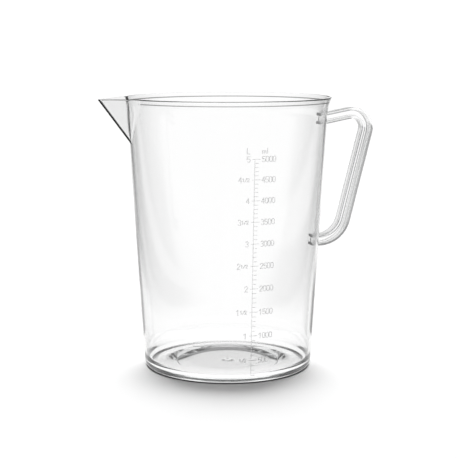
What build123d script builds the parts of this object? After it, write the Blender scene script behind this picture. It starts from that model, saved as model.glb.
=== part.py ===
from build123d import *

import math
import os

# Graduated measuring jug with a beak spout and an I-section handle, all in millimetres.
# The origin is the centre of the underside, +Z runs up the jug's axis, +X points to the
# handle, -X to the spout and -Y to the raised scale.

# Body
HEIGHT = 264.0
BASE_RADIUS = 82.2          # outside of the wall, extended down to the table
TOP_RADIUS = 97.7           # outside of the wall, extended up to the rim
WALL = 2.2
TAPER = (TOP_RADIUS - BASE_RADIUS) / HEIGHT

# Base
FLOOR_TOP = 3.3
HEEL_TOP = 16.0             # the heel ends and the plain wall starts
HEEL_ROUND = 5.5            # outside corner
INNER_ROUND = 11.0          # inside corner
HEEL_INNER_RADIUS = 68.0
RECESS_RADIUS = 50.0        # the middle of the underside is raised inside this radius
RECESS_DEPTH = 0.8
GATE_RADIUS = 4.0           # the nub left by the moulding gate
GATE_HEIGHT = 0.6

# Rim
LIP_START = 248.0
LIP_RADIUS = 101.0

# Spout: two flat cheeks that meet in a ridge
SPOUT_REACH = 127.2
SPOUT_DROP = 1.1            # the tip is this far below the rim
SPOUT_ROOT_HEIGHT = 219.5
SPOUT_HALF_ANGLE = 19.0
SPOUT_WALL = 2.0
SPOUT_BLOCK_X = (-140.0, -60.0)
SPOUT_BLOCK_Y = 75.0
SPOUT_BLOCK_BOTTOM = 200.0

# Handle
HANDLE_WIDTH = 14.0
HANDLE_DEPTH = 10.6
HANDLE_FLANGE = 2.5
HANDLE_WEB = 2.5
ARM_HEIGHT = 240.9          # middle of the upper arm where x is ARM_START
ARM_START = 96.0
ARM_RISE = 10.5             # degrees above level
GRIP_FOOT = (127.6, 169.5)  # a point on the middle line of the grip
GRIP_LEAN = 14.3            # degrees from upright
LOWER_ARM_HEIGHT = 120.0
UPPER_BEND = 15.0
LOWER_BEND = 27.0
ROOT_X = 80.0               # the arms are drawn in to here and trimmed by the wall

# Scale
RELIEF = 0.35
FULL_SCALE = 5000
MAJOR_STEP = 500
MINOR_STEP = 100
LOWEST_TICK = 200
SCALE_ZERO = -2.0           # height at which the divided volume starts
SPINE_WIDTH = 0.5
TICK_WIDTH = 0.45
STROKE = 0.6
MINOR_TICK = 3.7
MAJOR_TICK = 5.5
LITRE_TICK = 2.2
DIGIT_HEIGHT = 5.0
DIGIT_WIDTH = 2.7
DIGIT_PITCH = 3.5
FRACTION_SCALE = 0.62
MILLILITRE_X = 7.2          # where the millilitre figures start
LITRE_X = -4.6              # where the litre figures end
UNIT_RISE = 7.5             # the unit letters stand this far above the top tick


def wall_radius(z):
    return BASE_RADIUS + TAPER * z


def revolved(*points_and_arcs):
    """Turn a closed outline in the XZ plane once round the jug's axis."""
    return revolve(make_face(Wire(points_and_arcs)), Axis.Z)


def chain(*points):
    """Straight edges through points given as (radius, height)."""
    spots = [Vector(r, 0, z) for r, z in points]
    return [Line(a, b) for a, b in zip(spots, spots[1:])]


def node(name, shape):
    shape.label = name
    export_step(shape, f"parts/{name}.step")


# ---------------------------------------------------------------- body of revolution

def lip_curve(inset):
    """Flare of the rim: an arc that leaves the wall along its slope."""
    start = Vector(wall_radius(LIP_START) - inset, 0, LIP_START)
    end = Vector(LIP_RADIUS - inset, 0, HEIGHT)
    return TangentArc(start, end, tangent=Vector(TAPER, 0, 1))


def rim_lip():
    outer = lip_curve(0)
    inner = lip_curve(WALL)
    top = Line(outer @ 1, inner @ 1)
    bottom = Line(inner @ 0, outer @ 0)
    return revolved(outer, top, inner, bottom)


def side_wall():
    return revolved(*chain(
        (wall_radius(HEEL_TOP), HEEL_TOP),
        (wall_radius(LIP_START), LIP_START),
        (wall_radius(LIP_START) - WALL, LIP_START),
        (wall_radius(HEEL_TOP) - WALL, HEEL_TOP),
        (wall_radius(HEEL_TOP), HEEL_TOP),
    ))


def heel():
    """Corner between wall and floor, rounded inside and out."""
    outline = Polyline(
        (HEEL_INNER_RADIUS, 0, 0),
        (wall_radius(0), 0, 0),
        (wall_radius(HEEL_TOP), 0, HEEL_TOP),
        (wall_radius(HEEL_TOP) - WALL, 0, HEEL_TOP),
        (wall_radius(FLOOR_TOP) - WALL, 0, FLOOR_TOP),
        (HEEL_INNER_RADIUS, 0, FLOOR_TOP),
        close=True,
    )
    face = make_face(outline)
    corners = face.vertices()
    outside = corners.sort_by_distance((wall_radius(0), 0, 0))[0]
    face = fillet(outside, HEEL_ROUND)
    corners = face.vertices()
    inside = corners.sort_by_distance((wall_radius(FLOOR_TOP) - WALL, 0, FLOOR_TOP))[0]
    face = fillet(inside, INNER_ROUND)
    return revolve(face, Axis.Z)


def floor_ring():
    return revolved(*chain(
        (RECESS_RADIUS, 0), (HEEL_INNER_RADIUS, 0), (HEEL_INNER_RADIUS, FLOOR_TOP),
        (RECESS_RADIUS, FLOOR_TOP), (RECESS_RADIUS, 0),
    ))


def floor_centre():
    thickness = FLOOR_TOP - RECESS_DEPTH
    return Pos(0, 0, RECESS_DEPTH) * extrude(Circle(RECESS_RADIUS), thickness)


def gate_nub():
    return Pos(0, 0, RECESS_DEPTH - GATE_HEIGHT) * extrude(Circle(GATE_RADIUS), GATE_HEIGHT)


def solid_of_outside(grow=0.0):
    """Everything within the jug's outer skin, without spout and handle."""
    lip = lip_curve(-grow)
    rest = chain(
        (LIP_RADIUS + grow, HEIGHT), (0, HEIGHT), (0, 0), (wall_radius(0) + grow, 0),
        (wall_radius(LIP_START) + grow, LIP_START),
    )
    return revolved(lip, *rest)


# ---------------------------------------------------------------- spout

def spout_points():
    half = math.radians(SPOUT_HALF_ANGLE)
    root = Vector(-wall_radius(SPOUT_ROOT_HEIGHT), 0, SPOUT_ROOT_HEIGHT)
    tip = Vector(-SPOUT_REACH, 0, HEIGHT - SPOUT_DROP)
    corner = Vector(-LIP_RADIUS * math.cos(half), LIP_RADIUS * math.sin(half), HEIGHT)
    return root, tip, corner


def half_wedge(inset, top):
    """What lies under the +Y cheek's plane, moved in by inset, on the +Y side."""
    root, tip, corner = spout_points()
    outward = (corner - root).cross(tip - root).normalized()
    if outward.X > 0:
        outward = -outward
    near, far = SPOUT_BLOCK_X
    block = Pos(near, 0, SPOUT_BLOCK_BOTTOM) * Box(
        far - near, SPOUT_BLOCK_Y, top - SPOUT_BLOCK_BOTTOM, align=(Align.MIN,) * 3)
    cheek_plane = Plane(origin=root - outward * inset, z_dir=outward)
    return split(block, bisect_by=cheek_plane, keep=Keep.BOTTOM)


def spout_void():
    half = half_wedge(SPOUT_WALL, HEIGHT + 20)
    return half + mirror(half, about=Plane.XZ)


def spout_cheek():
    """The +Y cheek: a flat plate between ridge, rim and wall."""
    root, tip, corner = spout_points()
    plate = half_wedge(0, HEIGHT + 5) - half_wedge(SPOUT_WALL, HEIGHT + 20)
    rise = (corner - tip).cross(Vector(0, 1, 0)).normalized()
    if rise.Z < 0:
        rise = -rise
    plate = split(plate, bisect_by=Plane(origin=tip, z_dir=rise), keep=Keep.BOTTOM)
    plate = plate - solid_of_outside()
    return plate.solids().sort_by(SortBy.VOLUME)[-1]


# ---------------------------------------------------------------- handle

def crossing(p, along_p, q, along_q):
    """Where two lines in the XZ plane cross, each a point and a direction."""
    det = along_p[0] * along_q[1] - along_p[1] * along_q[0]
    dx, dz = q[0] - p[0], q[1] - p[1]
    t = (dx * along_q[1] - dz * along_q[0]) / det
    return p[0] + t * along_p[0], p[1] + t * along_p[1]


def handle_region(out):
    """Area enclosed by the handle's middle line moved outwards by out."""
    rise, lean = math.radians(ARM_RISE), math.radians(GRIP_LEAN)
    arm = (math.cos(rise), math.sin(rise))
    grip = (math.sin(lean), math.cos(lean))
    level = (1.0, 0.0)
    on_arm = (ARM_START - out * arm[1], ARM_HEIGHT + out * arm[0])
    on_grip = (GRIP_FOOT[0] + out * grip[1], GRIP_FOOT[1] - out * grip[0])
    on_lower = (ARM_START, LOWER_ARM_HEIGHT - out)
    upright = ((ROOT_X, 0.0), (0.0, 1.0))
    top_root = crossing(*upright, on_arm, arm)
    top_corner = crossing(on_arm, arm, on_grip, grip)
    low_corner = crossing(on_grip, grip, on_lower, level)
    low_root = crossing(*upright, on_lower, level)
    points = [Vector(x, 0, z) for x, z in (top_root, top_corner, low_corner, low_root)]
    bent = FilletPolyline(*points, radius=[UPPER_BEND + out, LOWER_BEND + out])
    return make_face(Wire([*bent.edges(), Line(points[-1], points[0])]))


def handle_band(inner, outer, width):
    """Bar that follows the handle between two offsets of its middle line."""
    band = handle_region(outer) - handle_region(inner)
    bar = extrude(band, width / 2, dir=(0, 1, 0), both=True)
    bar = bar - solid_of_outside()
    return bar.solids().sort_by(SortBy.VOLUME)[-1]


# ---------------------------------------------------------------- raised scale

def height_of(volume):
    """Height of a volume in ml inside the tapered wall, counted from SCALE_ZERO."""
    start = wall_radius(SCALE_ZERO) - WALL
    radius = (start ** 3 + 3 * TAPER * volume * 1000 / math.pi) ** (1 / 3)
    return SCALE_ZERO + (radius - start) / TAPER


def bar(x0, x1, z0, z1):
    return Pos((x0 + x1) / 2, (z0 + z1) / 2) * Rectangle(x1 - x0, z1 - z0)


def pen(path):
    """The round-ended track of a pen that follows one line or arc."""
    if path.geom_type == GeomType.LINE:
        along = path @ 1 - path @ 0
        slope = math.degrees(math.atan2(along.Y, along.X))
        return Pos(path @ 0.5) * SlotCenterToCenter(along.length, STROKE, rotation=slope)
    return SlotArc(path, STROKE)


def strokes(*lines):
    return Sketch() + [pen(line) for line in lines]


def digit(figure, x, z, size=1.0):
    """One figure drawn with a round pen, its lower left corner at x, z."""
    w, h = DIGIT_WIDTH * size, DIGIT_HEIGHT * size
    r = w / 2
    if figure == "0":
        side = h / 2 - r
        lines = [
            Line((0, h / 2 - side), (0, h / 2 + side)),
            Line((w, h / 2 - side), (w, h / 2 + side)),
            CenterArc((r, h - r), r, 0, 180),
            CenterArc((r, r), r, 180, 180),
        ]
    elif figure == "1":
        lines = [Line((r, 0), (r, h)), Line((r, h), (0, h - r))]
    elif figure == "2":
        lines = [
            CenterArc((r, h - r), r, 0, 180),
            Line((w, h - r), (0, 0)),
            Line((0, 0), (w, 0)),
        ]
    elif figure == "3":
        ring = h / 4
        lines = [
            CenterArc((r, h - ring), ring, -90, 240),
            CenterArc((r, ring), ring, -150, 240),
        ]
    elif figure == "4":
        lines = [
            Line((0.75 * w, 0), (0.75 * w, h)),
            Line((0.75 * w, h), (0, 0.3 * h)),
            Line((0, 0.3 * h), (w, 0.3 * h)),
        ]
    elif figure == "5":
        bowl = 0.3 * h
        lines = [
            Line((w, h), (0.1 * w, h)),
            Line((0.1 * w, h), (0, 0.52 * h)),
            Line((0, 0.52 * h), (r, 2 * bowl)),
            CenterArc((r, bowl), bowl, -150, 240),
        ]
    elif figure == "/":
        lines = [Line((0, 0), (w, h))]
    elif figure == "m":
        third, top = w * 0.6, 0.55 * h
        lines = [Line((0, 0), (0, top)), Line((2 * third, 0), (2 * third, top - third / 2)),
                 Line((third, 0), (third, top - third / 2)),
                 CenterArc((third / 2, top - third / 2), third / 2, 0, 180),
                 CenterArc((1.5 * third, top - third / 2), third / 2, 0, 180)]
    elif figure == "l":
        lines = [Line((r, 0), (r, h))]
    else:
        lines = [Line((0, h), (0, 0)), Line((0, 0), (w, 0))]
    return Pos(x, z) * strokes(*lines)


def raised(flat):
    """Stand a flat drawing proud of the outside of the wall, on the -Y side."""
    deep = Plane.XZ * flat
    slab = extrude(deep, BASE_RADIUS * 1.5, dir=(0, -1, 0))
    slab = slab - Pos(0, -BASE_RADIUS / 4, HEIGHT / 2) * Box(400, BASE_RADIUS / 2, 2 * HEIGHT)
    return (slab & SKIN_OUTSIDE) - SKIN


def figures(text, x, z, size=1.0):
    """A row of figures that starts at x, with its middle at height z."""
    pitch = DIGIT_PITCH * size
    low = z - DIGIT_HEIGHT * size / 2
    row = [digit(figure, x + i * pitch, low, size) for i, figure in enumerate(text)]
    return Sketch() + row


def litre_figures(volume):
    """Whole litres as one figure, half litres as a figure and a small fraction."""
    z = height_of(volume)
    whole, half = divmod(volume, 1000)
    if not half:
        return figures(str(whole), LITRE_X - DIGIT_WIDTH, z)
    small = DIGIT_PITCH * FRACTION_SCALE
    left = LITRE_X - 3 * small
    drawing = figures("1/2", left, z, FRACTION_SCALE)
    if whole:
        drawing = figures(str(whole), left - DIGIT_PITCH, z) + drawing
    return drawing


def ticks(volumes, x0, x1):
    marks = []
    for volume in volumes:
        z = height_of(volume)
        marks.append(bar(x0, x1, z - TICK_WIDTH / 2, z + TICK_WIDTH / 2))
    return Sketch() + marks


# ---------------------------------------------------------------- build

os.makedirs("parts", exist_ok=True)
SKIN = solid_of_outside()
SKIN_OUTSIDE = solid_of_outside(RELIEF)
VOID = spout_void()

node("side_wall", side_wall() - VOID)
node("rim_lip", rim_lip() - VOID)
node("heel", heel())
node("floor_ring", floor_ring())
node("floor_centre", floor_centre())
node("gate_nub", gate_nub())

REAR_CHEEK = spout_cheek()
node("spout_rear_cheek", REAR_CHEEK)
node("spout_front_cheek", mirror(REAR_CHEEK, about=Plane.XZ))

HALF_DEPTH = HANDLE_DEPTH / 2
WEB_EDGE = HALF_DEPTH - HANDLE_FLANGE
node("handle_outer_flange", handle_band(WEB_EDGE, HALF_DEPTH, HANDLE_WIDTH))
node("handle_inner_flange", handle_band(-HALF_DEPTH, -WEB_EDGE, HANDLE_WIDTH))
node("handle_web", handle_band(-WEB_EDGE, WEB_EDGE, HANDLE_WEB))

HALF_SPINE = SPINE_WIDTH / 2
MAJORS = range(MAJOR_STEP, FULL_SCALE + 1, MAJOR_STEP)
MINORS = [v for v in range(LOWEST_TICK, FULL_SCALE, MINOR_STEP) if v % MAJOR_STEP]
SPINE = bar(-HALF_SPINE, HALF_SPINE, height_of(LOWEST_TICK), height_of(FULL_SCALE))
node("scale_spine", raised(SPINE))
node("minor_ticks", raised(ticks(MINORS, HALF_SPINE, MINOR_TICK)))
node("major_ticks", raised(ticks(MAJORS, HALF_SPINE, MAJOR_TICK)))
node("litre_ticks", raised(ticks(MAJORS, -LITRE_TICK, -HALF_SPINE)))
for level in MAJORS:
    node(f"millilitres_{level}", raised(figures(str(level), MILLILITRE_X, height_of(level))))
    node(f"litres_at_{level}", raised(litre_figures(level)))
TITLE_HEIGHT = height_of(FULL_SCALE) + UNIT_RISE
node("unit_millilitre", raised(figures("ml", MILLILITRE_X, TITLE_HEIGHT)))
node("unit_litre", raised(figures("L", LITRE_X - DIGIT_WIDTH, TITLE_HEIGHT)))
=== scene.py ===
import math

import bmesh
import bpy
from mathutils import Matrix, Vector


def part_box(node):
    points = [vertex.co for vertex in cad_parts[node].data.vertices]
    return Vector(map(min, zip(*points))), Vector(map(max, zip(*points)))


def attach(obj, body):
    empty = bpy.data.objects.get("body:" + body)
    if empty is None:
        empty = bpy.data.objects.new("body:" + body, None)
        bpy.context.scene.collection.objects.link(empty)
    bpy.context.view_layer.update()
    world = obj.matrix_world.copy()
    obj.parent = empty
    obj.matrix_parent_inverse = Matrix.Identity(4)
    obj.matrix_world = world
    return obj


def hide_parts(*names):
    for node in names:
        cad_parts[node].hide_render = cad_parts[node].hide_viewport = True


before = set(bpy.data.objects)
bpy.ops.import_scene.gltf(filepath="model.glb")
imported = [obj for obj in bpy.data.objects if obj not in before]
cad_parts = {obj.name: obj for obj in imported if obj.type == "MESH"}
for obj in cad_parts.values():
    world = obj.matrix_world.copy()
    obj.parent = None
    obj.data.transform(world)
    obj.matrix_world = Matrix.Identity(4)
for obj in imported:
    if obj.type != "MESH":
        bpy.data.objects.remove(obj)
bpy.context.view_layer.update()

MM = 0.001

# ---------------------------------------------------------------- dimensions, in metres

WALL_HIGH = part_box("side_wall")[1]
LIP_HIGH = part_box("rim_lip")[1]
HEEL_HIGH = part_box("heel")[1]
FLOOR_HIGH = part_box("floor_ring")[1]
RECESS_LOW, RECESS_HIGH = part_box("floor_centre")
GATE_LOW, GATE_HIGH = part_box("gate_nub")
CHEEK_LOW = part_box("spout_rear_cheek")[0]
FLANGE_LOW, FLANGE_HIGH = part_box("handle_outer_flange")

HEIGHT = LIP_HIGH.z
LIP_RADIUS = LIP_HIGH.y
LIP_START = WALL_HIGH.z
HEEL_TOP = HEEL_HIGH.z
TAPER = (WALL_HIGH.y - HEEL_HIGH.y) / (LIP_START - HEEL_TOP)
BASE_RADIUS = HEEL_HIGH.y - TAPER * HEEL_TOP
WALL = 2.2 * MM
FLOOR_TOP = FLOOR_HIGH.z
HEEL_ROUND = 5.5 * MM
INNER_ROUND = 11.0 * MM
RECESS_RADIUS = RECESS_HIGH.y
RECESS_TOP = RECESS_LOW.z
GATE_RADIUS = GATE_HIGH.y
GATE_BOTTOM = GATE_LOW.z
GATE_DIMPLE = 0.9 * MM        # shallow hollow over the gate, on the inside of the floor
EDGE_ROUND = 0.7 * MM
BEAD = 0.5 * MM              # the wall is this much thicker, on the inside, along the rim
BEAD_START = HEIGHT - 5.0 * MM
BEAD_FULL = HEIGHT - 3.2 * MM
MARK_GAP = 0.03 * MM         # the skin stays this far inside the raised scale

SPOUT_REACH = -CHEEK_LOW.x
SPOUT_DROP = 1.1 * MM
SPOUT_ROOT_HEIGHT = 219.5 * MM
SPOUT_HALF_ANGLE = math.radians(19.0)
SPOUT_WALL = 2.0 * MM
CREASE_ROUND = 1.6 * MM
RIDGE_ROUND = 0.006

HANDLE_WIDTH = FLANGE_HIGH.y - FLANGE_LOW.y
HANDLE_DEPTH = 10.6 * MM
HANDLE_FLANGE = 2.5 * MM
HANDLE_WEB = 2.5 * MM
ARM_HEIGHT = 240.9 * MM
ARM_START = 96.0 * MM
ARM_RISE = math.radians(10.5)
GRIP_FOOT = (127.6 * MM, 169.5 * MM)
GRIP_LEAN = math.radians(14.3)
LOWER_ARM_HEIGHT = 120.0 * MM
UPPER_BEND = 15.0 * MM
LOWER_BEND = 27.0 * MM
HANDLE_EDGE = 0.45 * MM
WEB_FILLET = 0.9 * MM


# ---------------------------------------------------------------- shell: outer and inner skin

def outer_radius(z):
    """Outside of the wall and of the flared lip."""
    if z <= LIP_START:
        return BASE_RADIUS + TAPER * z
    start_r = BASE_RADIUS + TAPER * LIP_START
    slope = math.hypot(1, TAPER)
    across, up = 1 / slope, -TAPER / slope
    dr, dz = LIP_RADIUS - start_r, HEIGHT - LIP_START
    bend = (dr * dr + dz * dz) / (2 * (dr * across + dz * up))
    centre_r, centre_z = start_r + bend * across, LIP_START + bend * up
    return centre_r - math.sqrt(bend * bend - (z - centre_z) ** 2)


def bead_thickness(z):
    """Extra thickness of the wall along the rim, with a smooth start."""
    share = min(1.0, max(0.0, (z - BEAD_START) / (BEAD_FULL - BEAD_START)))
    return BEAD * share * share * (3 - 2 * share)


def cheek_plane():
    """Outward normal of the +Y cheek of the spout, and a point on it."""
    root = Vector((-(BASE_RADIUS + TAPER * SPOUT_ROOT_HEIGHT), 0, SPOUT_ROOT_HEIGHT))
    tip = Vector((-SPOUT_REACH, 0, HEIGHT - SPOUT_DROP))
    corner = Vector((-LIP_RADIUS * math.cos(SPOUT_HALF_ANGLE),
                     LIP_RADIUS * math.sin(SPOUT_HALF_ANGLE), HEIGHT))
    normal = (corner - root).cross(tip - root).normalized()
    if normal.x > 0:
        normal = -normal
    return normal, root


CHEEK_NORMAL, CHEEK_ROOT = cheek_plane()


def cheek_radius(turn, z, inset):
    """Distance from the axis to the cheek, turn away from the spout's middle."""
    n = CHEEK_NORMAL
    sine = math.sqrt(math.sin(turn) ** 2 + RIDGE_ROUND ** 2) - 0.7 * RIDGE_ROUND
    reach = n.dot(CHEEK_ROOT) - inset - n.z * z
    return reach / (-n.x * math.cos(turn) + n.y * sine)


def crease_turn(wall_r, z, inset):
    """Angle from the spout's middle at which cheek and wall meet, at height z."""
    n = CHEEK_NORMAL
    share = (n.dot(CHEEK_ROOT) - inset - n.z * z) / wall_r / math.hypot(n.x, n.y)
    return math.atan2(n.y, -n.x) - math.acos(min(1.0, share))


def smooth_max(a, b, width):
    """The larger of a and b, with a rounded corner where they meet."""
    near = max(width - abs(a - b), 0.0) / width
    return max(a, b) + near * near * width / 4


NARROWEST_CREASE = math.radians(1.0)
SPOUT_SECTOR = math.radians(50)
CHEEK_STEPS = [0, .01, .025, .045, .075, .12, .18, .26, .36, .47, .58, .69, .79, .87, .93, .97, 1]
FINE_STEPS = [.006, .014, .026, .042, .062]
PLAIN_STEPS = 34
REST_STEPS = 200


def column_turns(crease):
    """Angles from the spout's middle for one half of the spout sector."""
    cheek = [crease * share for share in CHEEK_STEPS]
    steps = FINE_STEPS + [FINE_STEPS[-1] + (1 - FINE_STEPS[-1]) * (i + 1) / PLAIN_STEPS
                          for i in range(PLAIN_STEPS)]
    return cheek + [crease + (SPOUT_SECTOR - crease) * share for share in steps]


def ring_turns(crease):
    """Signed angles from -X right round the jug, without a repeat."""
    half = column_turns(crease)
    rest = [SPOUT_SECTOR + (2 * math.pi - 2 * SPOUT_SECTOR) * i / REST_STEPS
            for i in range(1, REST_STEPS)]
    other = [2 * math.pi - turn for turn in reversed(half[1:])]
    return half + rest + other


def rim_drop(turn):
    """How far the top of the spout lies below the rim, at this angle."""
    corner_x = LIP_RADIUS * math.cos(SPOUT_HALF_ANGLE)
    x = cheek_radius(turn, HEIGHT, 0) * math.cos(turn)
    share = (x - corner_x) / (SPOUT_REACH - corner_x)
    return SPOUT_DROP * min(1.0, max(0.0, share))


def skin_ring(z, inner, in_from_edge=0.0):
    """One ring of points of the outer or inner skin. Near the rim in_from_edge rounds the edge."""
    wall_r = outer_radius(z) - (WALL + bead_thickness(z) if inner else MARK_GAP)
    inset = SPOUT_WALL if inner else 0.0
    above = min(1.0, max(0.0, (z - SPOUT_ROOT_HEIGHT) / (HEIGHT - SPOUT_ROOT_HEIGHT)))
    crease = NARROWEST_CREASE
    if above > 0:
        crease = max(crease, crease_turn(wall_r, z, inset))
    sign = 1 if inner else -1
    ring = []
    for turn in ring_turns(crease):
        aside = min(turn, 2 * math.pi - turn)
        r, height = wall_r, z
        if above > 0 and aside < SPOUT_SECTOR:
            height = z - above * rim_drop(aside)
            r = smooth_max(wall_r, cheek_radius(aside, height, inset), CREASE_ROUND)
        r += sign * in_from_edge
        ring.append((-r * math.cos(turn), -r * math.sin(turn), height))
    return ring


def plain_ring(r, z):
    return [(-r * math.cos(turn), -r * math.sin(turn), z) for turn in ring_turns(NARROWEST_CREASE)]


def arc_points(centre, radius, start, end, steps):
    """Points (r, z) along an arc, angles in radians."""
    angles = [start + (end - start) * i / steps for i in range(steps + 1)]
    return [(centre[0] + radius * math.cos(a), centre[1] + radius * math.sin(a)) for a in angles]


def corner_arc(wall_r, floor_z, radius, steps):
    """Arc that joins a level line at floor_z to the sloping wall above it."""
    centre_z = floor_z + radius
    centre_r = wall_r + TAPER * centre_z - radius * math.hypot(1, TAPER)
    return arc_points((centre_r, centre_z), radius, -math.pi / 2, -math.atan(TAPER), steps)


def levels(low, high, step):
    count = max(1, round((high - low) / step))
    return [low + (high - low) * i / count for i in range(count + 1)]


def upper_levels(spout_start):
    """Heights of the rings between the foot of the spout and the rounded edge of the rim."""
    main = levels(spout_start, BEAD_START, 1.2 * MM)
    return main[1:] + levels(BEAD_START, HEIGHT - EDGE_ROUND, 0.3 * MM)[1:-1]


def edge_rows(inner):
    """Rows round one edge of the rim: (height, distance in from the skin)."""
    rows = []
    for degrees in (0, 22.5, 45, 67.5, 90):
        a = math.radians(degrees)
        rows.append((HEIGHT - EDGE_ROUND * (1 - math.sin(a)), EDGE_ROUND * (1 - math.cos(a))))
    return rows[::-1] if inner else rows


def shell_rings():
    """All rings, from the middle of the underside over the rim to the middle of the floor."""
    rings = []
    under = [(0.4 * GATE_RADIUS, GATE_BOTTOM), (GATE_RADIUS - EDGE_ROUND, GATE_BOTTOM),
             (GATE_RADIUS - 0.3 * EDGE_ROUND, GATE_BOTTOM + 0.1 * MM),
             (GATE_RADIUS, RECESS_TOP - 0.1 * MM), (GATE_RADIUS + 0.3 * EDGE_ROUND, RECESS_TOP),
             (2 * GATE_RADIUS, RECESS_TOP), (0.4 * RECESS_RADIUS, RECESS_TOP),
             (0.7 * RECESS_RADIUS, RECESS_TOP), (RECESS_RADIUS - 0.4 * MM, RECESS_TOP),
             (RECESS_RADIUS, RECESS_TOP - 0.2 * MM), (RECESS_RADIUS + 0.3 * MM, 0.2 * MM),
             (RECESS_RADIUS + 0.7 * MM, 0.0), (1.3 * RECESS_RADIUS, 0.0)]
    heel = corner_arc(BASE_RADIUS - MARK_GAP, 0.0, HEEL_ROUND, 10)
    rings += [plain_ring(r, z) for r, z in under + heel]
    spout_start = SPOUT_ROOT_HEIGHT - 4 * MM
    climb = levels(heel[-1][1] + 2 * MM, spout_start, 6 * MM)
    climb += upper_levels(spout_start)
    rings += [skin_ring(z, inner=False) for z in climb]
    rings += [skin_ring(z, False, inwards) for z, inwards in edge_rows(False)]
    rings += [skin_ring(z, True, inwards) for z, inwards in edge_rows(True)]
    fillet = corner_arc(BASE_RADIUS - WALL, FLOOR_TOP, INNER_ROUND, 12)
    descent = levels(fillet[-1][1] + 2 * MM, spout_start, 6 * MM)
    descent += upper_levels(spout_start)
    rings += [skin_ring(z, inner=True) for z in reversed(descent)]
    rings += [plain_ring(r, z) for r, z in reversed(fillet)]
    rings += [plain_ring(share * fillet[0][0], FLOOR_TOP) for share in (.8, .6, .4, .2, .1)]
    rings += [plain_ring(share * GATE_RADIUS, FLOOR_TOP - GATE_DIMPLE * (1 - share ** 2) ** 2)
              for share in (1, .85, .7, .55, .4, .25, .1)]
    return rings


def ring_mesh(name, rings, first, last):
    """A closed mesh through rings, capped with a point at each end."""
    count = len(rings[0])
    verts = [point for ring in rings for point in ring] + [first, last]
    faces = []
    for row in range(len(rings) - 1):
        low, high = row * count, (row + 1) * count
        for i in range(count):
            j = (i + 1) % count
            faces.append((low + i, low + j, high + j, high + i))
    start, end = len(verts) - 2, len(verts) - 1
    final = (len(rings) - 1) * count
    for i in range(count):
        j = (i + 1) % count
        faces.append((start, j, i))
        faces.append((end, final + i, final + j))
    mesh = bpy.data.meshes.new(name)
    mesh.from_pydata(verts, [], faces)
    return mesh


def add_object(name, mesh):
    made = bpy.data.objects.new(name, mesh)
    bpy.context.scene.collection.objects.link(made)
    return made


def shell():
    mesh = ring_mesh("jug_moulding", shell_rings(), (0, 0, GATE_BOTTOM), (0, 0, FLOOR_TOP - GATE_DIMPLE))
    return add_object("jug_moulding", mesh)


# ---------------------------------------------------------------- handle

def crossing(p, along_p, q, along_q):
    """Where two lines in the XZ plane cross, each a point and a direction."""
    det = along_p[0] * along_q[1] - along_p[1] * along_q[0]
    dx, dz = q[0] - p[0], q[1] - p[1]
    t = (dx * along_q[1] - dz * along_q[0]) / det
    return p[0] + t * along_p[0], p[1] + t * along_p[1]


def bend_points(before, corner, after, radius, steps):
    """Points (x, z, direction) round one bend of the handle."""
    into = (Vector(corner) - Vector(before)).normalized()
    out = (Vector(after) - Vector(corner)).normalized()
    turn = into.angle_signed(out)
    tangent = radius * math.tan(abs(turn) / 2)
    start = Vector(corner) - into * tangent
    side = Vector((into.y, -into.x)) * (1 if turn > 0 else -1)
    centre = start + side * radius
    points = []
    for i in range(steps + 1):
        spin = Matrix.Rotation(-turn * i / steps, 2)
        at = centre + spin @ (start - centre)
        along = spin @ into
        points.append((at.x, at.y, along))
    return points


def straight_points(a, b, along, step):
    """Points between a and b, ends left out."""
    length = (Vector(b) - Vector(a)).length
    count = max(1, round(length / step))
    return [(a[0] + (b[0] - a[0]) * i / count, a[1] + (b[1] - a[1]) * i / count, along)
            for i in range(1, count)]


def handle_line():
    """The handle's middle line from the upper root to the lower one."""
    arm = (math.cos(ARM_RISE), math.sin(ARM_RISE))
    grip = (math.sin(GRIP_LEAN), math.cos(GRIP_LEAN))
    top_root = (ARM_START, ARM_HEIGHT)
    low_root = (ARM_START, LOWER_ARM_HEIGHT)
    top_corner = crossing(top_root, arm, GRIP_FOOT, grip)
    low_corner = crossing(GRIP_FOOT, grip, low_root, (1.0, 0.0))
    upper = bend_points(top_root, top_corner, low_corner, UPPER_BEND, 28)
    lower = bend_points(top_corner, low_corner, low_root, LOWER_BEND, 28)
    step = 6 * MM
    line = [(*top_root, upper[0][2])]
    line += straight_points(top_root, upper[0][:2], upper[0][2], step)
    line += upper
    line += straight_points(upper[-1][:2], lower[0][:2], lower[0][2], step)
    line += lower
    line += straight_points(lower[-1][:2], low_root, lower[-1][2], step)
    line += [(*low_root, lower[-1][2])]
    return line


def rounded_outline(corners, steps=4):
    """Corners are (across, deep, radius); each is rounded with an arc."""
    outline = []
    count = len(corners)
    for i, (x, y, radius) in enumerate(corners):
        here = Vector((x, y))
        before = (Vector(corners[i - 1][:2]) - here).normalized()
        after = (Vector(corners[(i + 1) % count][:2]) - here).normalized()
        for k in range(steps + 1):
            t = k / steps
            p, q = here + before * radius, here + after * radius
            point = (1 - t) ** 2 * p + 2 * t * (1 - t) * here + t * t * q
            outline.append((point.x, point.y))
    return outline


def handle_section():
    """I-shaped outline: across is along Y, deep is away from the inside of the handle."""
    half, deep = HANDLE_WIDTH / 2, HANDLE_DEPTH / 2
    web, shelf = HANDLE_WEB / 2, HANDLE_DEPTH / 2 - HANDLE_FLANGE
    edge, fillet = HANDLE_EDGE, WEB_FILLET
    quarter = [(half, deep, edge), (half, shelf, edge), (web, shelf, fillet)]
    upper_right = quarter
    lower_right = [(x, -y, r) for x, y, r in reversed(quarter)]
    lower_left = [(-x, -y, r) for x, y, r in quarter]
    upper_left = [(-x, y, r) for x, y, r in reversed(quarter)]
    return rounded_outline(upper_right + lower_right + lower_left + upper_left)


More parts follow.
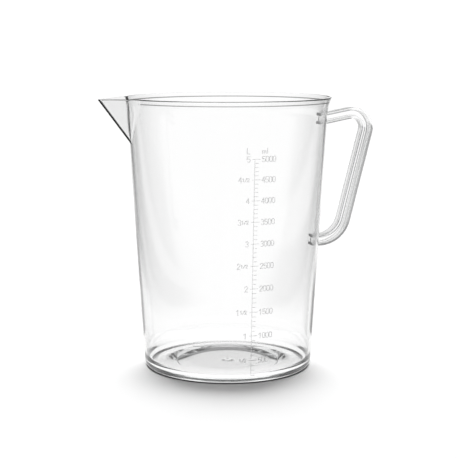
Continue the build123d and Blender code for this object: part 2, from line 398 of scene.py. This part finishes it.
def on_mid_wall(point, along):
    """Slide a point along its arm until it lies in the middle of the wall."""
    x, y, z = point
    for _ in range(8):
        r = outer_radius(z) - WALL / 2
        target = math.sqrt(r * r - y * y)
        shift = (target - x) / along.x
        x, z = x + shift * along.x, z + shift * along.y
    return x, y, z


def handle():
    section = handle_section()
    line = handle_line()
    rings = []
    for i, (x, z, along) in enumerate(line):
        away = Vector((-along.y, along.x))
        ring = [(x + deep * away.x, across, z + deep * away.y) for across, deep in section]
        if i in (0, len(line) - 1):
            ring = [on_mid_wall(point, along) for point in ring]
        rings.append(ring)
    count = len(section)
    verts = [point for ring in rings for point in ring]
    faces = []
    for row in range(len(rings) - 1):
        low, high = row * count, (row + 1) * count
        faces += [(low + i, high + i, high + (i + 1) % count, low + (i + 1) % count)
                  for i in range(count)]
    faces.append(tuple(range(count)))
    last = (len(rings) - 1) * count
    faces.append(tuple(reversed(range(last, last + count))))
    mesh = bpy.data.meshes.new("handle")
    mesh.from_pydata(verts, [], faces)
    return add_object("handle", mesh)


def joined(body, part):
    """Exact union of two closed pieces, as one continuous moulding."""
    union = body.modifiers.new("union", "BOOLEAN")
    union.operation = "UNION"
    union.solver = "EXACT"
    union.object = part
    graph = bpy.context.evaluated_depsgraph_get()
    mesh = bpy.data.meshes.new_from_object(body.evaluated_get(graph))
    body.modifiers.clear()
    body.data = mesh
    bpy.data.objects.remove(part)
    return body


def smooth(piece, degrees):
    for face in piece.data.polygons:
        face.use_smooth = True
    piece.data.set_sharp_from_angle(angle=math.radians(degrees))


# ---------------------------------------------------------------- materials

def socket(node, name, value):
    node.inputs[name].default_value = value


def grey_ramp(tree, value, stops):
    """Grey by value: stops are (position, grey)."""
    ramp = tree.nodes.new("ShaderNodeValToRGB")
    tree.links.new(value, ramp.inputs["Fac"])
    bands = ramp.color_ramp.elements
    while len(bands) > 1:
        bands.remove(bands[0])
    for i, (place, grey) in enumerate(stops):
        band = bands[0] if i == 0 else bands.new(place)
        band.position = place
        band.color = (grey, grey, grey, 1)
    return ramp.outputs["Color"]


# Painted shade on the plastic from face on (0) to edge on (1): greys that darken it towards its edges
EDGE_PAINTED_SHADE = [(0, .99), (.35, .985), (.6, .95), (.8, .86), (1, .7)]


def clear_plastic():
    """Clear glossy plastic, faintly wavy from the mould, with painted shade that greys it where it is
    seen edge on.
    """
    material = bpy.data.materials.new("clear_plastic")
    material.use_nodes = True
    tree = material.node_tree
    nodes, links = tree.nodes, tree.links
    shader = nodes["Principled BSDF"]
    socket(shader, "Roughness", 0.02)
    socket(shader, "IOR", 1.49)
    socket(shader, "Transmission Weight", 1.0)
    facing = nodes.new("ShaderNodeLayerWeight")
    # Painted shade: the base colour greys towards the edges, standing in for the dark edges the
    # surroundings give
    links.new(grey_ramp(tree, facing.outputs["Facing"], EDGE_PAINTED_SHADE), shader.inputs["Base Color"])
    where = nodes.new("ShaderNodeTexCoord")
    waves = nodes.new("ShaderNodeTexNoise")
    socket(waves, "Scale", 14.0)
    socket(waves, "Detail", 2.0)
    bump = nodes.new("ShaderNodeBump")
    socket(bump, "Strength", 0.25)
    socket(bump, "Distance", 0.0004)
    links.new(where.outputs["Object"], waves.inputs["Vector"])
    links.new(waves.outputs["Fac"], bump.inputs["Height"])
    links.new(bump.outputs["Normal"], shader.inputs["Normal"])
    depth = nodes.new("ShaderNodeVolumeAbsorption")
    socket(depth, "Color", (0.9, 0.93, 0.94, 1))
    socket(depth, "Density", 6.0)
    links.new(depth.outputs["Volume"], nodes["Material Output"].inputs["Volume"])
    return material


def frosted_marks_with_painted_shade(name, grey, roughness):
    """The same plastic with the fine frosted face of the raised scale, greyed with painted shade that
    stands in for the shading of the raised relief.
    """
    material = bpy.data.materials.new(name)
    material.use_nodes = True
    nodes, links = material.node_tree.nodes, material.node_tree.links
    shader = nodes["Principled BSDF"]
    # Painted shade: this grey stands in for the shading of the raised relief
    socket(shader, "Base Color", (grey, grey, grey, 1))
    socket(shader, "Roughness", roughness)
    socket(shader, "IOR", 1.49)
    socket(shader, "Transmission Weight", 0.9)
    where = nodes.new("ShaderNodeTexCoord")
    grain = nodes.new("ShaderNodeTexNoise")
    socket(grain, "Scale", 3000.0)
    bump = nodes.new("ShaderNodeBump")
    socket(bump, "Strength", 0.3)
    socket(bump, "Distance", 0.00005)
    links.new(where.outputs["Object"], grain.inputs["Vector"])
    links.new(grain.outputs["Fac"], bump.inputs["Height"])
    links.new(bump.outputs["Normal"], shader.inputs["Normal"])
    return material


# ---------------------------------------------------------------- studio

CAMERA_PLACE = (-0.32008, -1.18502, 0.32366)
CAMERA_HEADING = math.radians(-15.18)
CAMERA_DIP = math.radians(8.77)
CAMERA_LENS = 99.23          # millimetres
SENSOR_WIDTH = 36.0          # millimetres
AHEAD = (math.sin(-CAMERA_HEADING), math.cos(-CAMERA_HEADING), 0)
RIGHT = (AHEAD[1], -AHEAD[0], 0)
WHITE = (1, 1, 1, 1)
BLACK = (0, 0, 0, 1)


def camera():
    data = bpy.data.cameras.new("camera")
    data.lens = CAMERA_LENS
    data.sensor_width = SENSOR_WIDTH
    made = add_object("camera", data)
    made.location = CAMERA_PLACE
    made.rotation_euler = (math.pi / 2 - CAMERA_DIP, 0, CAMERA_HEADING)
    bpy.context.scene.camera = made


def math_node(tree, operation, first, second):
    """A vector maths node between a socket or value and another."""
    node = tree.nodes.new("ShaderNodeVectorMath")
    node.operation = operation
    for entry, given in zip(node.inputs, (first, second)):
        if isinstance(given, bpy.types.NodeSocket):
            tree.links.new(given, entry)
        else:
            entry.default_value = given
    return node.outputs["Value" if operation == "DOT_PRODUCT" else "Vector"]


def heading_ramp(tree, vector, origin, stops):
    """Grey by compass heading seen from origin. Stops are (degrees right of ahead, grey)."""
    away = math_node(tree, "SUBTRACT", vector, origin)
    turn = tree.nodes.new("ShaderNodeMath")
    turn.operation = "ARCTAN2"
    tree.links.new(math_node(tree, "DOT_PRODUCT", away, RIGHT), turn.inputs[0])
    tree.links.new(math_node(tree, "DOT_PRODUCT", away, AHEAD), turn.inputs[1])
    share = tree.nodes.new("ShaderNodeMapRange")
    socket(share, "From Min", -math.pi)
    socket(share, "From Max", math.pi)
    tree.links.new(turn.outputs[0], share.inputs["Value"])
    placed = [((degrees + 180) / 360, grey) for degrees, grey in stops]
    return grey_ramp(tree, share.outputs["Result"], placed)


# Greys the plastic shows, by heading: (degrees right of ahead, grey)
SURROUND = [(-180, .9), (-85, .9), (-65, .4), (-40, .4), (-25, .35), (-15, .3), (-11.5, 1.0),
            (11.5, 1.0), (15, .3), (25, .3), (28, .9), (37, .9), (41, .3), (60, .4), (65, .4),
            (85, .9), (180, .9)]
CAMERA_FOOT = (CAMERA_PLACE[0], CAMERA_PLACE[1], 0)
BACKDROP = 1.05              # a little over white
SKY_FADE = (3.0, 9.0)        # degrees above level between which the backdrop ends
FLOOR_GLOW = 1.02            # strength of the white floor that the plastic shows
# The same above SKY_FADE
HIGH_SKY = [(-180, .85), (-100, .85), (-70, .24), (70, .24), (100, .85), (180, .85)]
FRONT_BLEND = (0.75, 1.15)   # metres ahead of the camera between which the floor's greys begin
ROOM_LIGHT = 0.33            # strength of the even light on the floor
DOME_RADIUS = 15.0
CEILING_HALF_WIDTH = 1.9
CEILING_HEIGHT = 1.6
CEILING_GREY = 0.9
BASE_GLOW_RADIUS = 150.0 * MM
FLOOR_HEIGHT = -0.3 * MM     # the three floors lie just under the jug, a hair apart
BASE_GLOW_HEIGHT = -0.5 * MM
GLOW_HEIGHT = -0.6 * MM
FLOOR_HALF_WIDTH = 40.0
SHADE_RADIUS = BASE_RADIUS - 1.0 * MM    # the drum that casts the base's shadow
SHADE_HEIGHT = 50.0 * MM


def pale_floor():
    """The pale floor the camera sees."""
    material = bpy.data.materials.new("floor_white")
    material.use_nodes = True
    tree = material.node_tree
    shader = tree.nodes["Principled BSDF"]
    socket(shader, "Base Color", (.9, .9, .9, 1))
    socket(shader, "Roughness", 0.9)
    socket(shader, "Specular IOR Level", 0.1)
    floor = floor_plane("floor", FLOOR_HEIGHT, material)
    floor.visible_transmission = floor.visible_glossy = False


def floor_plane(name, height, material):
    half = FLOOR_HALF_WIDTH
    corners = [(-half, -half, 0), (half, -half, 0), (half, half, 0), (-half, half, 0)]
    mesh = bpy.data.meshes.new(name)
    mesh.from_pydata(corners, [], [(0, 1, 2, 3)])
    mesh.materials.append(material)
    floor = add_object(name, mesh)
    floor.location.z = height
    return floor


def base_shade():
    """A hidden drum that casts the soft shadow of the base. The jug itself casts none."""
    rings = [plain_ring(SHADE_RADIUS, z) for z in (0.0, SHADE_HEIGHT)]
    mesh = ring_mesh("base_shade", rings, (0, 0, 0.0), (0, 0, SHADE_HEIGHT))
    drum = add_object("base_shade", mesh)
    drum.visible_camera = drum.visible_glossy = drum.visible_transmission = False


def glowing(name, grey):
    """A plain stage material that only gives off light."""
    material = bpy.data.materials.new(name)
    material.use_nodes = True
    shader = material.node_tree.nodes["Principled BSDF"]
    socket(shader, "Base Color", BLACK)
    socket(shader, "Emission Color", (grey, grey, grey, 1))
    socket(shader, "Emission Strength", 1.0)
    return material


def glass_only(card):
    """Stage a helper that nothing but the plastic shows."""
    card.visible_camera = card.visible_diffuse = card.visible_shadow = False


def mixed(tree, share, first, second):
    """Colour that goes from first to second as share goes from 0 to 1."""
    blend = tree.nodes.new("ShaderNodeMix")
    blend.data_type = "RGBA"
    tree.links.new(share, blend.inputs["Factor"])
    for entry, given in ((blend.inputs[6], first), (blend.inputs[7], second)):
        if isinstance(given, bpy.types.NodeSocket):
            tree.links.new(given, entry)
        else:
            entry.default_value = given
    return blend.outputs[2]


def eased(tree, value, low, high):
    """Share that rises smoothly from 0 at low to 1 at high."""
    share = tree.nodes.new("ShaderNodeMapRange")
    share.interpolation_type = "SMOOTHSTEP"
    socket(share, "From Min", low)
    socket(share, "From Max", high)
    tree.links.new(value, share.inputs["Value"])
    return share.outputs["Result"]


def floor_glow():
    """What the plastic shows of the floor: its evenly lit white, without the jug's own shadow."""
    material = glowing("floor_glow", 1.0)
    tree = material.node_tree
    shader = tree.nodes["Principled BSDF"]
    socket(shader, "Specular IOR Level", 0.0)
    where = tree.nodes.new("ShaderNodeTexCoord").outputs["Object"]
    grey = heading_ramp(tree, where, CAMERA_FOOT, SURROUND)
    away = math_node(tree, "SUBTRACT", where, CAMERA_FOOT)
    distance = math_node(tree, "DOT_PRODUCT", away, AHEAD)
    share = eased(tree, distance, FRONT_BLEND[0], FRONT_BLEND[1])
    tree.links.new(mixed(tree, share, WHITE, grey), shader.inputs["Emission Color"])
    socket(shader, "Emission Strength", FLOOR_GLOW)
    glass_only(floor_plane("floor_glow", GLOW_HEIGHT, material))


def base_glow():
    """The white of the floor right round the foot of the jug, as the heel shows it."""
    ring = plain_ring(BASE_GLOW_RADIUS, BASE_GLOW_HEIGHT)
    mesh = bpy.data.meshes.new("base_glow")
    mesh.from_pydata(ring, [], [tuple(range(len(ring)))])
    mesh.materials.append(glowing("base_glow", FLOOR_GLOW))
    glass_only(add_object("base_glow", mesh))


def dome(name, material):
    """A sphere round the whole studio."""
    mesh = bpy.data.meshes.new(name)
    builder = bmesh.new()
    bmesh.ops.create_uvsphere(builder, u_segments=64, v_segments=32, radius=DOME_RADIUS)
    builder.to_mesh(mesh)
    builder.free()
    mesh.materials.append(material)
    return add_object(name, mesh)


def surround():
    """What the plastic shows of the studio: white low down behind the jug, greys elsewhere."""
    material = glowing("surround", 1.0)
    tree = material.node_tree
    shader = tree.nodes["Principled BSDF"]
    where = tree.nodes.new("ShaderNodeTexCoord").outputs["Object"]
    low = heading_ramp(tree, where, (0, 0, 0), SURROUND)
    high = heading_ramp(tree, where, (0, 0, 0), HIGH_SKY)
    rise = math_node(tree, "DOT_PRODUCT", where, (0, 0, 1 / DOME_RADIUS))
    start, end = [math.sin(math.radians(degrees)) for degrees in SKY_FADE]
    share = eased(tree, rise, start, end)
    tree.links.new(mixed(tree, share, low, high), shader.inputs["Emission Color"])
    socket(shader, "Emission Strength", BACKDROP)
    glass_only(dome("surround", material))


def backdrop():
    """The plain white behind the jug. Only the camera sees it."""
    sphere = dome("backdrop", glowing("backdrop", BACKDROP))
    sphere.visible_glossy = sphere.visible_transmission = False
    sphere.visible_diffuse = sphere.visible_shadow = False


def room_light():
    """A weak, even light on the floor from all round."""
    world = bpy.data.worlds.new("studio")
    bpy.context.scene.world = world
    world.use_nodes = True
    socket(world.node_tree.nodes["Background"], "Color", WHITE)
    socket(world.node_tree.nodes["Background"], "Strength", ROOM_LIGHT)


def studio_flag(name, depth, near, far, top, grey):
    """A grey card that faces the camera beside the line of sight. Only the plastic shows it.

    It stands depth beyond the jug's axis and reaches from near to far, measured to the right.
    It fades out upwards, outwards and where it is seen from the side or from behind.
    """
    ahead, right = Vector(AHEAD), Vector(RIGHT)
    low = [ahead * depth + right * min(near, far), ahead * depth + right * max(near, far)]
    corners = [*low, low[1] + Vector((0, 0, top)), low[0] + Vector((0, 0, top))]
    mesh = bpy.data.meshes.new(name)
    mesh.from_pydata([tuple(corner) for corner in corners], [], [(0, 1, 2, 3)])
    material = glowing(name, grey)
    tree = material.node_tree
    where = tree.nodes.new("ShaderNodeTexCoord")
    parts = tree.nodes.new("ShaderNodeSeparateXYZ")
    tree.links.new(where.outputs["Generated"], parts.inputs["Vector"])
    fade_up = grey_ramp(tree, parts.outputs["Z"], [(0, 1), (.5, 1), (1, 0)])
    outwards = [(0, 1), (.4, 1), (1, 0)] if far > 0 else [(0, 0), (.6, 1), (1, 1)]
    fade_out = grey_ramp(tree, parts.outputs["X"], outwards)
    soft = math_node(tree, "MULTIPLY", fade_up, fade_out)
    tilt = tree.nodes.new("ShaderNodeLayerWeight").outputs["Facing"]
    behind = tree.nodes.new("ShaderNodeNewGeometry").outputs["Backfacing"]
    seen = math_node(tree, "MULTIPLY", grey_ramp(tree, tilt, [(0, 1), (.3, 1), (.6, 0)]),
                     grey_ramp(tree, behind, [(0, 1), (1, 0)]))
    alpha = math_node(tree, "MULTIPLY", soft, seen)
    tree.links.new(alpha, tree.nodes["Principled BSDF"].inputs["Alpha"])
    mesh.materials.append(material)
    glass_only(add_object(name, mesh))


def ceiling_card():
    """A broad pale card high above the jug. Only the plastic shows it."""
    mesh = bpy.data.meshes.new("ceiling_card")
    half, rise = CEILING_HALF_WIDTH, CEILING_HEIGHT
    corners = [(-half, -half, rise), (half, -half, rise), (half, half, rise), (-half, half, rise)]
    mesh.from_pydata(corners, [], [(0, 1, 2, 3)])
    mesh.materials.append(glowing("ceiling_card", CEILING_GREY))
    glass_only(add_object("ceiling_card", mesh))


def soft_sky_light(name, bearing, height, spread, strength):
    """A wide, even light from far above: bearing and height of its middle, in degrees."""
    data = bpy.data.lights.new(name, "SUN")
    data.energy = strength
    data.angle = math.radians(spread)
    made = add_object(name, data)
    a, e = math.radians(bearing), math.radians(height)
    towards = Vector((math.cos(e) * math.cos(a), math.cos(e) * math.sin(a), math.sin(e)))
    made.rotation_euler = towards.to_track_quat("Z", "Y").to_euler()
    made.visible_glossy = made.visible_transmission = False


# ---------------------------------------------------------------- build

# The regions of the CAD that the one moulding stands for
MOULDING_NODES = [
    "side_wall", "rim_lip", "heel", "floor_ring", "floor_centre", "gate_nub",
    "spout_rear_cheek", "spout_front_cheek",
    "handle_outer_flange", "handle_inner_flange", "handle_web",
]

jug = joined(shell(), handle())
smooth(jug, degrees=32)
jug.data.materials.clear()
jug.data.materials.append(clear_plastic())
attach(jug, "root")
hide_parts(*MOULDING_NODES)

# The greys of the scale and of its spine are painted shade; the roughness and grain are their frosted
# face
MARKS = frosted_marks_with_painted_shade("raised_scale", grey=0.86, roughness=0.36)
SPINE = frosted_marks_with_painted_shade("raised_spine", grey=0.93, roughness=0.25)
for name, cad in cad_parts.items():
    if name not in MOULDING_NODES:
        cad.data.materials.clear()
        cad.data.materials.append(SPINE if name == "scale_spine" else MARKS)

camera()
pale_floor()
floor_glow()
base_glow()
surround()
backdrop()
room_light()
studio_flag("flag_left_back", depth=.10, near=-.116, far=-.17, top=.20, grey=.42)
studio_flag("flag_left_side", depth=.0, near=-.139, far=-.35, top=.30, grey=.4)
studio_flag("flag_right_back", depth=.10, near=.113, far=.17, top=.09, grey=.3)
studio_flag("flag_right_side", depth=.05, near=.157, far=.35, top=.30, grey=.3)
base_shade()
ceiling_card()
soft_sky_light("top_light", bearing=75, height=43, spread=60, strength=3.85)
jug.visible_shadow = jug.visible_diffuse = False

scene = bpy.context.scene
scene.view_settings.view_transform = "Standard"
scene.cycles.max_bounces = 24
scene.cycles.transmission_bounces = 24
scene.cycles.glossy_bounces = 8
scene.cycles.caustics_refractive = False
scene.cycles.caustics_reflective = False
